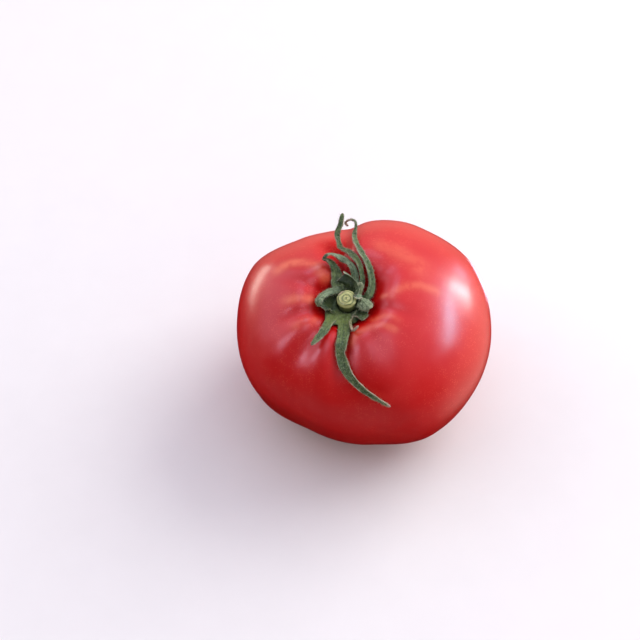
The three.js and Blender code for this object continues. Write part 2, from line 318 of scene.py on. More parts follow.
def over_skin(points):
    """How far points stand over the skin, and the direction away from it."""
    dx, dy = body_shift(points[..., 2])
    q = points - np.stack([dx, dy, np.zeros_like(dx)], axis=-1)
    r = np.linalg.norm(q, axis=-1)
    polar = np.arccos(np.clip(q[..., 2] / r, -1, 1))
    around = np.arctan2(q[..., 1], q[..., 0])
    return r - skin_radius(polar, around), q / r[..., None]


# Where the fruit rests: its frame leans, and the lowest skin is pressed to one plane. The plane
# and the spot's middle come from the same coarse points as in the part's source.

COARSE_SPOKES = 80
COARSE_RINGS = 32
LEAN = Matrix.Rotation(math.radians(LEAN_FRONT), 3, "X") @ Matrix.Rotation(
    -math.radians(LEAN_LEFT), 3, "Y"
)
LEAN_ROWS = np.array(LEAN)
DOWN = LEAN_ROWS.T @ np.array([0, 0, -1.0])


def rings_of(spokes, rings):
    """Directions of rings of points, closest together near the stem."""
    polar = math.pi * (np.arange(1, rings) / rings) ** 1.15
    around = 2 * math.pi * np.arange(spokes) / spokes
    return np.meshgrid(polar, around, indexing="ij")


def pressed(points, level):
    """Points with those that lie below a level moved up to it."""
    below = np.maximum(0, points @ DOWN - level)
    return points - below[..., None] * DOWN


coarse_polar, coarse_around = rings_of(COARSE_SPOKES, COARSE_RINGS)
coarse = skin_points(coarse_polar, coarse_around).reshape(-1, 3)
coarse = np.concatenate([coarse, skin_points([math.pi], [0.0])])
LEVEL = (coarse @ DOWN).max() - PRESSED_FLAT
flat = pressed(coarse[coarse @ DOWN > LEVEL], LEVEL) @ LEAN_ROWS.T
REST_SPOT = (flat.min(axis=0) + flat.max(axis=0)) / 2


def to_world(points):
    """From the fruit's own frame in millimetres to the part's frame in metres."""
    return (points @ LEAN_ROWS.T - REST_SPOT) * MM


# Making meshes: points, the faces between them, and values for the materials


def mesh_object(name, vertices, faces):
    mesh = bpy.data.meshes.new(name)
    mesh.from_pydata([tuple(v) for v in vertices], [], faces)
    mesh.validate()
    mesh.update()
    mesh.shade_smooth()
    obj = bpy.data.objects.new(name, mesh)
    bpy.context.scene.collection.objects.link(obj)
    return obj


def add_value(obj, name, values):
    attribute = obj.data.attributes.new(name, "FLOAT", "POINT")
    attribute.data.foreach_set("value", np.asarray(values, np.float32))


def fan_faces(spokes, rings):
    """Faces of rings of points between two poles, which are the first and the last point."""

    def at(ring, spoke):
        return 1 + (ring - 1) * spokes + spoke % spokes

    last = 1 + (rings - 1) * spokes
    faces = []
    for spoke in range(spokes):
        faces.append((0, at(1, spoke), at(1, spoke + 1)))
        for ring in range(1, rings - 1):
            here = (at(ring, spoke), at(ring + 1, spoke))
            faces.append(here + (at(ring + 1, spoke + 1), at(ring, spoke + 1)))
        faces.append((last, at(rings - 1, spoke + 1), at(rings - 1, spoke)))
    return faces


# The fruit, finely divided

FRUIT_SPOKES = 400
FRUIT_RINGS = 180
polar, around = rings_of(FRUIT_SPOKES, FRUIT_RINGS)
grid = skin_points(polar, around)
points = np.concatenate(
    [skin_points([0.0], [0.0]), grid.reshape(-1, 3), skin_points([math.pi], [0.0])]
)
fruit_points = pressed(points, LEVEL)
fruit = mesh_object("fruit_skin", to_world(fruit_points), fan_faces(FRUIT_SPOKES, FRUIT_RINGS))


def with_poles(values, first, last):
    """Values of all the rings' points, with those of the two poles before and after."""
    return np.concatenate([[first], values.ravel(), [last]])


add_value(fruit, "from_stem", with_poles(polar / math.pi, 0, 1))
add_value(fruit, "crease", with_poles(crease_depth(polar, around), 0, 0))
add_value(fruit, "cavity", with_poles(cavity_share(polar, around), 1, 0))

# Behind the calyx two creases meet: a painted highlight lightens the skin, too sheltered to shine

BACK_CREASES = 99  # direction of the line between the two, and half the width of the place
BACK_WIDTH = 18
turn = around - math.radians(BACK_CREASES)
from_back = np.degrees(np.arctan2(np.sin(turn), np.cos(turn)))
down = np.degrees(polar)
between = np.exp(-((from_back / BACK_WIDTH) ** 2)) * smoothstep(down, 14, 19)
add_value(fruit, "sheltered", with_poles(between * smoothstep(down, 62, 46), 0, 0))
add_value(fruit, "behind", with_poles(between * smoothstep(down, 38, 29), 0, 0))

# Painted highlight, orange on the rims of the lobes where they catch the light: routes of
# direction round the stem and degrees from it, half width in millimetres, and strength
LEFT_ARCH = [(150, 45.9), (145, 44), (140, 41.6), (135, 38), (131, 34), (128, 29.5), (128, 22.5)]
RIM_HIGHLIGHTS = [
    (LEFT_ARCH, 2.1, 0.9),
    ([(178, 36), (177, 30), (177, 23)], 1.7, 0.85),
    ([(208, 34), (210, 27.3), (214, 24.4)], 1.8, 0.4),
    ([(3, 27), (8, 29.9), (11, 33.6), (11, 42.5), (7, 50.4)], 1.7, 0.6),
    ([(276, 29.4), (283, 24.6), (303, 24.0), (319, 27.9), (323, 34)], 1.5, 0.55),
    ([(318, 22.6), (330, 25.6), (334, 29), (333, 33)], 1.4, 0.5),
    ([(59, 40.7), (46, 43.4), (32, 46.1), (26, 46.9)], 4.0, 0.45),
    ([(2, 22.9), (3, 24.5)], 1.0, 0.7),
]


def distance_to_route(points, route):
    """Distance of points from a line of points, in millimetres."""
    nearest = np.full(len(points), 1e9)
    for a, b in zip(route[:-1], route[1:]):
        step = b - a
        share = np.clip((points - a) @ step / (step @ step), 0, 1)
        nearest = np.minimum(nearest, np.linalg.norm(points - a - share[:, None] * step, axis=1))
    return nearest


rim_highlight = np.zeros(len(points))
for route, half_width, strength in RIM_HIGHLIGHTS:
    headings, angles = np.radians(np.array(route, float)).T
    away = distance_to_route(points, skin_points(angles, headings))
    rim_highlight = np.maximum(rim_highlight, strength * np.exp(-((away / half_width) ** 2)))
add_value(fruit, "rim_highlight", rim_highlight)

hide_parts("fruit")
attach(fruit, "root")

# The calyx: each sepal is a closed blade on its route, thinner at its margins, with a midrib

STATIONS = 9  # along each step of a route
ACROSS = 12  # steps from margin to margin
LIFTED = 0.4  # the least gap between a blade and the skin
STUB_CLEAR = 3.85  # the stub's radius and the gap round it
CAVITY_FLOOR = skin_points(0.0, 0.0)[2]
TOP_OF_STUB = CAVITY_FLOOR + STUB[-1][1]


def curve_point(route, share):
    """A point of a centripetal Catmull-Rom curve."""
    last = len(route) - 1
    place = last * share
    k = min(int(place), last - 1)
    w = place - k
    p1, p2 = route[k], route[k + 1]
    p0 = route[k - 1] if k > 0 else 2 * p1 - p2
    p3 = route[k + 2] if k + 2 <= last else 2 * p2 - p1
    d0, d1, d2 = (math.sqrt(np.linalg.norm(b - a)) for a, b in ((p0, p1), (p1, p2), (p2, p3)))
    t1 = ((p1 - p0) / d0 - (p2 - p0) / (d0 + d1) + (p2 - p1) / d1) * d1
    t2 = ((p2 - p1) / d1 - (p3 - p1) / (d1 + d2) + (p3 - p2) / d2) * d1
    c2 = -3 * p1 + 3 * p2 - 2 * t1 - t2
    c3 = 2 * p1 - 2 * p2 + t1 + t2
    return p1 + t1 * w + c2 * w * w + c3 * w**3


def spread(values, share):
    """A value at a share of the way along values that are spread evenly."""
    place = share * (len(values) - 1)
    k = min(int(place), len(values) - 2)
    w = smoothstep(place - k, 0, 1)
    return values[k] * (1 - w) + values[k + 1] * w


def unit(v):
    return v / np.linalg.norm(v)


def turn_about(v, axis, angle):
    """A vector turned about an axis of length 1."""
    return (
        v * math.cos(angle)
        + np.cross(axis, v) * math.sin(angle)
        + axis * (axis @ v) * (1 - math.cos(angle))
    )


def waves(length, size):
    """A smooth random line, one value for each station."""
    knots = rng.normal(0, 1, int(length / size) + 4)
    place = np.linspace(0, len(knots) - 1.001, int(length))
    k = place.astype(int)
    w = smoothstep(place - k, 0, 1)
    return knots[k] * (1 - w) + knots[k + 1] * w


def clear_of_stub(points):
    """Moves points out of the stub, away from the stem axis."""
    out = np.hypot(points[..., 0], points[..., 1])
    push = np.where((out < STUB_CLEAR) & (points[..., 2] < TOP_OF_STUB), STUB_CLEAR / out, 1)
    moved = points.copy()
    moved[..., 0] *= push
    moved[..., 1] *= push
    return moved


def raise_clear(upper, lower, least):
    """Raises both faces of a blade together where the lower of them is too near the skin."""
    for _ in range(3):
        up_lift, up_out = over_skin(upper)
        low_lift, low_out = over_skin(lower)
        lowest = np.minimum(up_lift, low_lift)
        out = np.where((up_lift < low_lift)[..., None], up_out, low_out)
        step = np.maximum(0, least - lowest)[..., None] * out
        upper, lower = upper + step, lower + step
    return upper, lower


def sepal_points(sepal):
    """Rows of points on both faces of a sepal, and how far along it each row lies."""
    headings, angles, lifts = np.array(sepal["route"], float).T
    route = skin_points(np.radians(angles), np.radians(headings), lifts)
    count = (len(route) - 1) * STATIONS
    shares = np.arange(count + 1) / count
    centres = np.array([curve_point(route, s) for s in shares])
    steps = np.linalg.norm(np.diff(centres, axis=0), axis=1)
    length = np.concatenate([[0], np.cumsum(steps)])
    to_tip = length[-1] - length
    left, right = waves(count + 1, 5), waves(count + 1, 5)  # how ragged each margin is
    lean = waves(count + 1, 9)
    across = np.linspace(-1, 1, ACROSS + 1)
    blunt = 0.8 if sepal["width"][-1] > 2.5 else 0.3
    upper, lower = [], []
    for k, share in enumerate(shares):
        ahead, before = min(1, share + 1e-4), max(0, share - 1e-4)
        along = unit(curve_point(route, ahead) - curve_point(route, before))
        out = over_skin(centres[k])[1]
        face = unit(out - along * (out @ along))
        face = turn_about(face, along, math.radians(spread(sepal["roll"], share) + 5 * lean[k]))
        side = np.cross(along, face)
        arc = math.radians(max(4, spread(sepal["curl"], share)))
        # the last 1.6 mm are rounded off
        tip = math.sqrt(max(0.0, 1 - max(0, 1 - to_tip[k] / 1.6) ** 2))
        width = spread(sepal["width"], share) * (blunt + (1 - blunt) * tip)
        bend = width / arc
        margin = np.abs(across) ** 3
        ragged = np.where(across < 0, left[k], right[k]) * margin
        angle = arc * across / 2 * (1 + 0.07 * ragged)
        sideways, outwards = np.sin(angle)[:, None], np.cos(angle)[:, None]
        p = centres[k] + side * bend * sideways + face * bend * (1 - outwards)
        normal = face * outwards - side * sideways
        p = p + normal * (0.13 * min(width, 4) / 4 * ragged)[:, None]
        # thinner at the margins and the tip, with a rib that is a groove on the upper face
        half = BLADE / 2 * (1 - 0.55 * margin) * (0.5 + 0.5 * tip)
        rib = np.exp(-((across * width / 2 / 0.42) ** 2)) * min(1, width / 3)
        upper.append(p + normal * (half - 0.16 * rib)[:, None])
        lower.append(p - normal * (half + 0.22 * rib)[:, None])
    upper, lower = raise_clear(np.array(upper), np.array(lower), LIFTED)
    return upper, lower, shares, to_tip


def strip_shell(upper, lower):
    """A closed blade with a rounded margin between its two faces."""
    rows, row = upper.shape[0], upper.shape[1]
    margin_left = (upper[:, 0] + lower[:, 0]) / 2 + (upper[:, 0] - upper[:, 1]) * 0.12
    margin_right = (upper[:, -1] + lower[:, -1]) / 2 + (upper[:, -1] - upper[:, -2]) * 0.12
    loop = np.concatenate(
        [upper, margin_right[:, None], lower[:, ::-1], margin_left[:, None]], axis=1
    )
    size = loop.shape[1]
    faces = []
    for k in range(rows - 1):
        for j in range(size):
            a, b = k * size + j, k * size + (j + 1) % size
            faces.append((a, b, b + size, a + size))
    for first, turned in ((0, False), ((rows - 1) * size, True)):
        for j in range(row - 1):
            quad = (first + j, first + size - 2 - j, first + size - 3 - j, first + j + 1)
            faces.append(quad[::-1] if turned else quad)
        right = (first + row - 1, first + row + 1, first + row)
        left = (first, first + size - 1, first + size - 2)
        faces.append(right[::-1] if turned else right)
        faces.append(left[::-1] if turned else left)
    return loop.reshape(-1, 3), faces, size


def dryness(sepal, shares, to_tip):
    """How dry each row of a sepal is: a little at its tip, where its entry says nothing else."""
    if "dry_from" in sepal:
        begins, full, strength = sepal["dry_from"]
        return strength * share_past(shares, begins, full)
    reach, strength = sepal.get("dry_tip", (2.5, 0.25))
    return np.clip(strength * (1 - to_tip / reach), 0, 1)


def painted_shade_amount(sepal, shares, back):
    """How much painted shade darkens each point of a sepal: its end, or else its whole upper
    face.
    """
    if "painted_shade_from" in sepal:
        begins, full, strength = sepal["painted_shade_from"]
        return np.repeat(strength * share_past(shares, begins, full), len(back))
    return np.tile(np.where(back < 0.5, sepal.get("hollow", 0.0), 0.0), len(shares))


def paleness(sepal, shares, across):
    """How pale each point of a sepal is: its end and its margins, or else all of it."""
    if "pale_from" not in sepal:
        return np.full(len(shares) * len(across), sepal.get("pale", 0.0))
    begins, full, strength = sepal["pale_from"]
    end = np.repeat(strength * share_past(shares, begins, full), len(across))
    return np.maximum(end, 0.35 * np.tile(np.abs(across) ** 8, len(shares)))


# Values round a blade, in the order of strip_shell: across goes from margin to margin, and back
# is 0 on the upper face and 1 on the lower one
line = np.linspace(-1, 1, ACROSS + 1)
ROUND_ACROSS = np.concatenate([line, [1], line[::-1], [-1]])
ROUND_BACK = np.concatenate([np.zeros(ACROSS + 1), [0.5], np.ones(ACROSS + 1), [0.5]])

# The same values for the calyx's middle
CUP_VALUES = {
    "across": 0.3, "along": 0.0, "back": 0.2, "tone": 0.4, "dry": 0.0, "hollow": 0.0, "pale": 0.0,
}
calyx_values = {name: [] for name in CUP_VALUES}
calyx_points, calyx_faces = [], []
blades = []
start = 0
for sepal in SEPALS:
    upper, lower, shares, to_tip = sepal_points(sepal)
    # rows that lie wholly inside the stub are left out
    inside = np.hypot(upper[..., 0], upper[..., 1]).max(axis=1) < STUB_CLEAR
    first = int(np.argmin(inside))
    upper, lower = clear_of_stub(upper[first:]), clear_of_stub(lower[first:])
    shares, to_tip = shares[first:], to_tip[first:]
    shell, faces, size = strip_shell(upper, lower)
    calyx_points.append(shell)
    calyx_faces += [tuple(i + start for i in face) for face in faces]
    start += len(shell)
    calyx_values["across"].append(np.tile(ROUND_ACROSS, len(shares)))
    calyx_values["along"].append(np.repeat(shares, size))
    calyx_values["back"].append(np.tile(ROUND_BACK, len(shares)))
    calyx_values["tone"].append(np.full(len(shell), rng.uniform()))
    calyx_values["dry"].append(np.repeat(dryness(sepal, shares, to_tip), size))
    calyx_values["hollow"].append(painted_shade_amount(sepal, shares, ROUND_BACK))
    calyx_values["pale"].append(paleness(sepal, shares, ROUND_ACROSS))
    blades.append((upper, lower))

# The calyx's middle, lumpy, with a round opening for the stub

CUP_SPOKES = 96
OPENING = (2.75, 3.6, 4.5)  # heights of its rings over the floor of the cavity
cup_around = 2 * math.pi * np.arange(CUP_SPOKES) / CUP_SPOKES
reach = np.radians(round_about(CUP_REACH, cup_around))
ragged_rim = 1 + 0.05 * np.sin(5 * cup_around + 1) + 0.03 * np.sin(11 * cup_around + 2)
opening_x, opening_y = STUB_CLEAR * np.cos(cup_around), STUB_CLEAR * np.sin(cup_around)
inner = []
for height in OPENING:
    level = np.full(CUP_SPOKES, CAVITY_FLOOR + height)
    inner.append(np.stack([opening_x, opening_y, level], axis=-1))
outer = []
for (share, lift), (next_share, next_lift) in zip(CUP[:-1], CUP[1:]):
    for part in (0, 1 / 3, 2 / 3):
        s = share + (next_share - share) * part
        h = lift + (next_lift - lift) * part
        lumps = 0.16 * np.sin(7 * cup_around + 9 * s) * np.sin(3 * cup_around - 5 * s)
        rim = reach * ragged_rim if s > 0.7 else reach
        outer.append(clear_of_stub(skin_points(s * rim, cup_around, h + lumps)))
top, bottom = skin_points([0.0], [0.0], OPENING[0]), skin_points([0.0], [0.0], CLEAR)
cup_points = np.concatenate([top] + inner + outer + [bottom])
cup_faces = fan_faces(CUP_SPOKES, len(inner) + len(outer) + 1)
calyx_points.append(cup_points)
calyx_faces += [tuple(i + start for i in face) for face in cup_faces]
for name, value in CUP_VALUES.items():
    calyx_values[name].append(np.full(len(cup_points), value))

# Fine hairs: spikes with three sides, most of them on the margins and near the roots

HAIRS = 5200
HAIR_LENGTH = (0.35, 0.95)
HAIR_RADIUS = 0.032
ON_MARGIN = 0.6  # share of the hairs
ON_UPPER = 0.6
hair_points, hair_faces = [], []
rows = np.array([len(upper) for upper, lower in blades], float)
for _ in range(HAIRS):
    upper, lower = blades[rng.choice(len(blades), p=rows / rows.sum())]
    k = int(rng.uniform(1, len(upper) - 2))
    edge = rng.uniform() < ON_MARGIN
    j = int(rng.choice([0, ACROSS])) if edge else int(rng.uniform(1, ACROSS - 1))
    face, other = (upper, lower) if rng.uniform() < ON_UPPER else (lower, upper)
    foot = face[k, j] + (face[k + 1, j] - face[k, j]) * rng.uniform()
    normal = face[k, j] - other[k, j]
    if np.linalg.norm(normal) < 1e-3:
        continue
    inward = 1 if j == 0 else -1
    outward = face[k, j] - face[k, j + inward] if edge else rng.normal(0, 0.3, 3)
    lean = 1.4 * unit(outward) if edge else outward
    way = unit(unit(normal) + lean + rng.normal(0, 0.35, 3))
    tip = foot + way * rng.uniform(*HAIR_LENGTH)
    if over_skin(tip)[0] < 0.1:
        continue
    side = unit(np.cross(way, rng.normal(0, 1, 3)))
    other_side = np.cross(way, side)
    base = len(hair_points)
    for turn in (0, 2.1, 4.2):
        corner = side * math.cos(turn) + other_side * math.sin(turn)
        hair_points.append(foot + HAIR_RADIUS * corner)
    hair_points.append(tip)
    hair_faces += [
        (base, base + 1, base + 3),
        (base + 1, base + 2, base + 3),
        (base + 2, base, base + 3),
        (base, base + 2, base + 1),
    ]

calyx_points = np.concatenate(calyx_points)
calyx = mesh_object("calyx_leaves", to_world(calyx_points), calyx_faces)

# The calyx is youngest, and the most yellow, in front of the stub where two sepals join

YOUNG_SIDE = 250  # its direction round the stem
way = over_skin(calyx_points)[1]
heading = np.degrees(np.arctan2(way[:, 1], way[:, 0]))
off_side = np.abs((heading - YOUNG_SIDE + 180) % 360 - 180)
from_middle = np.degrees(np.arccos(np.clip(way[:, 2], -1, 1)))
young = smoothstep(off_side, 48, 25) * smoothstep(from_middle, 7.5, 11)
calyx_values["young"] = [young * smoothstep(from_middle, 26, 16)]
for name, parts in calyx_values.items():
    add_value(calyx, name, np.concatenate(parts))
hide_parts("calyx")
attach(calyx, "root")

hairs = mesh_object("calyx_hairs", to_world(np.array(hair_points)), hair_faces)
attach(hairs, "root")

# The stub of the stem, with the rings of its cut end

STUB_SPOKES = 72
STUB_PLACES = 60  # rings of points, spread evenly along its outline
SHOULDER = 8.1  # height where its sides end
CUT = 8.2  # height from which its top is cut across
stub_around = 2 * math.pi * np.arange(STUB_SPOKES) / STUB_SPOKES
profile = np.array(STUB, float)
lengths = np.concatenate([[0], np.cumsum(np.linalg.norm(np.diff(profile, axis=0), axis=1))])
ribs = 1 + 0.018 * np.sin(9 * stub_around + 0.6) + 0.012 * np.sin(16 * stub_around)
smoother = 1 + 0.01 * np.sin(5 * stub_around)
stub_rings = []
for place in np.linspace(0, lengths[-1], STUB_PLACES + 2)[1:-1]:
    radius = np.interp(place, lengths, profile[:, 0])
    height = np.interp(place, lengths, profile[:, 1])
    wobble = ribs if height < SHOULDER else smoother
    uneven = np.zeros(STUB_SPOKES)
    if height > CUT:
        swirl = 1.9 * np.sin(stub_around + 0.7) + 1.1 * np.sin(3 * stub_around + 2 * radius)
        uneven = 0.08 * np.sin(5.5 * radius + swirl)
        uneven += 0.06 * np.sin(4 * stub_around - 2.5 * radius)
    x = radius * wobble * np.cos(stub_around)
    y = radius * wobble * np.sin(stub_around)
    stub_rings.append(np.stack([x, y, CAVITY_FLOOR + height + uneven], axis=-1))
foot, top = ([[0, 0, CAVITY_FLOOR + end[1]]] for end in (STUB[0], STUB[-1]))
stub_points = np.concatenate([foot] + stub_rings + [top])
stub_faces = [face[::-1] for face in fan_faces(STUB_SPOKES, len(stub_rings) + 1)]
stub = mesh_object("stem_end", to_world(stub_points), stub_faces)
# values that go from 0 to about 1, and for the heading from -1 to 1
add_value(stub, "from_axis", np.hypot(stub_points[:, 0], stub_points[:, 1]) / 3.5)
add_value(stub, "height", (stub_points[:, 2] - CAVITY_FLOOR - STUB[0][1]) / 5.8)
add_value(stub, "heading", np.arctan2(stub_points[:, 1], stub_points[:, 0]) / math.pi)
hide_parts("stem_stub")
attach(stub, "root")

# Materials. Colours are linear red, green, blue and alpha, and the scales of noise are in
# repeats a metre.

MIX_SHARE, MIX_A, MIX_B = 0, 6, 7  # sockets of a Mix node that mixes colours
MIX_RESULT = 2


class Nodes:
    """A material's nodes, made and joined in short calls."""

    def __init__(self, name):
        self.material = bpy.data.materials.new(name)
        self.material.use_nodes = True
        self.tree = self.material.node_tree
        self.shader = self.tree.nodes["Principled BSDF"]

    def new(self, kind, inputs=None, **settings):
        node = self.tree.nodes.new(kind)
        for key, value in settings.items():
            setattr(node, key, value)
        for key, value in (inputs or {}).items():
            self.put(node, key, value)
        return node

    def put(self, node, key, value):
        socket = node.inputs[key]
        if isinstance(value, bpy.types.NodeSocket):
            self.tree.links.new(value, socket)
        else:
            socket.default_value = value

    def set(self, key, value):
        self.put(self.shader, key, value)

    def value(self, name):
        """A value that is stored in the mesh."""
        return self.new("ShaderNodeAttribute", attribute_name=name).outputs["Fac"]

    def place(self):
        return self.new("ShaderNodeTexCoord").outputs["Object"]

    def noise(self, scale, detail=3.0, roughness=0.55):
        inputs = {"Scale": scale, "Detail": detail, "Roughness": roughness}
        inputs["Vector"] = self.place()
        return self.new("ShaderNodeTexNoise", inputs).outputs["Fac"]

    def math(self, operation, a, b=0.0):
        node = self.new("ShaderNodeMath", {0: a, 1: b}, operation=operation)
        return node.outputs[0]

    def ramp(self, value, low, high, to_low=0.0, to_high=1.0):
        """A smooth change from to_low where the value is low to to_high where it is high."""
        inputs = {"Value": value, "From Min": low, "From Max": high}
        inputs.update({"To Min": to_low, "To Max": to_high})
        node = self.new("ShaderNodeMapRange", inputs, interpolation_type="SMOOTHSTEP")
        return node.outputs[0]

    def mix(self, share, a, b):
        inputs = {MIX_SHARE: share, MIX_A: a, MIX_B: b}
        return self.new("ShaderNodeMix", inputs, data_type="RGBA").outputs[MIX_RESULT]

    def bump(self, height, strength, distance, normal=None):
        """A bump of a distance in metres, over another one where a normal is given."""
        inputs = {"Height": height, "Strength": strength, "Distance": distance}
        if normal is not None:
            inputs["Normal"] = normal
        return self.new("ShaderNodeBump", inputs).outputs["Normal"]


def skin_material():
    n = Nodes("tomato_skin")
    from_stem = n.value("from_stem")
    crease = n.value("crease")
    cavity = n.value("cavity")
    rim_highlight = n.value("rim_highlight")
    base = (0.57, 0.005, 0.005, 1)
    rosy = (0.62, 0.012, 0.011, 1)
    deep = (0.43, 0.003, 0.003, 1)
    light = (0.75, 0.05, 0.05, 1)
    orange = (0.80, 0.16, 0.075, 1)
    golden = (0.80, 0.10, 0.06, 1)
    brown = (0.36, 0.22, 0.10, 1)
    colour = n.mix(n.ramp(n.noise(38.0, 3.0), 0.35, 0.7), base, rosy)
    # painted shade: deep red in the creases and in the cavity; deeper red, too, towards the
    # blossom end
    near_stem = n.ramp(from_stem, 0.3, 0.17)
    crease_shade = n.math("MULTIPLY", n.ramp(crease, 1.4, 3.6, 0.0, 0.5), near_stem)
    colour = n.mix(crease_shade, colour, deep)
    # painted shade in the cavity round the stem
    colour = n.mix(n.ramp(cavity, 0.08, 0.32, 0.0, 0.95), colour, deep)
    # painted highlight: lighter red behind the calyx, where the skin doesn't shine
    colour = n.mix(n.math("MULTIPLY", n.value("behind"), 0.5), colour, light)
    colour = n.mix(n.ramp(from_stem, 0.36, 0.60, 0.0, 0.85), colour, deep)
    # painted highlight: orange on the rims of the lobes, broken up a little
    broken = n.ramp(n.noise(230.0, 3.0), 0.3, 0.6, 0.45, 1.0)
    colour = n.mix(n.math("MULTIPLY", rim_highlight, broken), colour, orange)
    # fine golden flecks, in some places and there more or less
    dots = n.new("ShaderNodeTexVoronoi", {"Vector": n.place(), "Scale": 1900.0}).outputs[0]
    some = n.ramp(n.noise(500.0, 1.0), 0.42, 0.58)
    fleck = n.math("MULTIPLY", n.ramp(dots, 0.42, 0.18), some)
    fleck = n.math("MULTIPLY", fleck, n.ramp(n.noise(70.0, 2.0), 0.3, 0.65, 0.1, 0.6))
    colour = n.mix(fleck, colour, golden)
    # a small dry scar with an uneven rim at the blossom end
    uneven = n.ramp(n.noise(400.0, 2.0), 0, 1, -0.006, 0.006)
    scar = n.ramp(n.math("ADD", from_stem, uneven), 0.978, 0.988)
    n.set("Base Color", n.mix(scar, colour, brown))
    n.set("Roughness", n.ramp(n.noise(150.0, 3.0), 0.3, 0.7, 0.28, 0.34))
    n.set("IOR", 1.45)
    # the cavity and the sheltered place behind the calyx don't shine
    dull = n.math("MAXIMUM", n.ramp(cavity, 0.08, 0.30), n.value("sheltered"))
    n.set("Specular IOR Level", n.ramp(dull, 0.0, 1.0, 0.5, 0.05))
    n.set("Coat Weight", n.ramp(dull, 0.0, 0.6, 0.12, 0.0))
    n.set("Coat Roughness", 0.2)
    n.set("Subsurface Weight", 0.08)
    n.set("Subsurface Radius", (1.0, 0.10, 0.06))
    n.set("Subsurface Scale", 0.003)
    n.set("Normal", n.bump(n.noise(1500.0, 2.0), 0.06, 0.0002))
    return n.material


def sepal_material():
    n = Nodes("sepal_green")
    across = n.math("ABSOLUTE", n.value("across"))
    back = n.value("back")
    along = n.value("along")
    dry = n.value("dry")
    face_dark, face_light = (0.034, 0.078, 0.018, 1), (0.160, 0.235, 0.070, 1)
    back_dark, back_light = (0.080, 0.135, 0.062, 1), (0.265, 0.360, 0.215, 1)
    hollow_dark, hollow_light = (0.012, 0.028, 0.006, 1), (0.045, 0.075, 0.016, 1)
    grey_green = (0.14, 0.21, 0.12, 1)
    pale_green = (0.33, 0.39, 0.20, 1)
    spot_dark, spot_pale = (0.020, 0.045, 0.013, 1), (0.33, 0.42, 0.21, 1)
    shade = (0.028, 0.055, 0.018, 1)
    vein_green = (0.24, 0.32, 0.15, 1)
    straw = (0.47, 0.42, 0.30, 1)
    pinkish_brown = (0.50, 0.34, 0.27, 1)
    yellow_green = (0.16, 0.22, 0.045, 1)
    patches = n.ramp(n.noise(300.0, 4.0, 0.65), 0.3, 0.7)
    face = n.mix(patches, face_dark, face_light)
    colour = n.mix(back, face, n.mix(patches, back_dark, back_light))
    # each sepal a little lighter or darker, and mottled in dark and pale patches
    colour = n.mix(n.ramp(n.value("tone"), 0.0, 1.0, 0.0, 0.25), colour, grey_green)
    colour = n.mix(n.value("pale"), colour, pale_green)
    dark_spots = n.ramp(n.noise(900.0, 5.0, 0.75), 0.48, 0.60)
    colour = n.mix(n.math("MULTIPLY", dark_spots, 0.8), colour, spot_dark)
    pale_spots = n.ramp(n.noise(1300.0, 4.0, 0.75), 0.54, 0.64)
    colour = n.mix(n.math("MULTIPLY", pale_spots, 0.65), colour, spot_pale)
    # dark midrib, pale veins beside it and pale margins that come and go
    rib = n.ramp(across, 0.16, 0.03)
    colour = n.mix(n.math("MULTIPLY", rib, 0.6), colour, shade)
    vein = n.math("SINE", n.math("MULTIPLY", across, 19.0))
    colour = n.mix(n.ramp(vein, 0.4, 1.0, 0.0, 0.22), colour, vein_green)
    broken = n.ramp(n.noise(260.0, 2.0), 0.38, 0.62, 0.1, 0.85)
    margin = n.math("MULTIPLY", n.ramp(across, 0.84, 1.0), broken)
    margin = n.math("MULTIPLY", margin, n.ramp(along, 0.12, 0.35))
    colour = n.mix(margin, colour, straw)
    # the tips dry to a pinkish brown, and painted shade darkens the roots and the hollows
    colour = n.mix(n.ramp(dry, 0.1, 0.8), colour, pinkish_brown)
    young = n.value("young")
    shaded = n.math("MULTIPLY", n.ramp(along, 0.16, 0.0, 0.0, 0.6), n.ramp(young, 0.6, 0.0))
    colour = n.mix(shaded, colour, shade)
    young = n.math("MULTIPLY", young, n.ramp(n.noise(600.0, 3.0), 0.3, 0.65, 0.2, 0.85))
    colour = n.mix(young, colour, yellow_green)
    # painted shade on the hollow upper faces and on one bent-over end
    colour = n.mix(n.value("hollow"), colour, n.mix(patches, hollow_dark, hollow_light))
    n.set("Base Color", colour)
    n.set("Roughness", n.ramp(n.noise(300.0, 3.0), 0.3, 0.7, 0.55, 0.75))
    n.set("Specular IOR Level", 0.3)
    n.set("Sheen Weight", 0.03)
    n.set("Sheen Roughness", 0.5)
    n.set("Sheen Tint", (0.85, 0.95, 0.8, 1))
    pits = n.bump(n.noise(900.0, 4.0, 0.65), 0.7, 0.0004)
    n.set("Normal", n.bump(vein, 0.3, 0.0002, pits))
    return n.material


def hair_material():
    n = Nodes("pale_hair")
    darker, lighter = (0.26, 0.33, 0.19, 1), (0.46, 0.48, 0.34, 1)
    n.set("Base Color", n.mix(n.noise(300.0), darker, lighter))
    n.set("Roughness", 0.6)
    return n.material


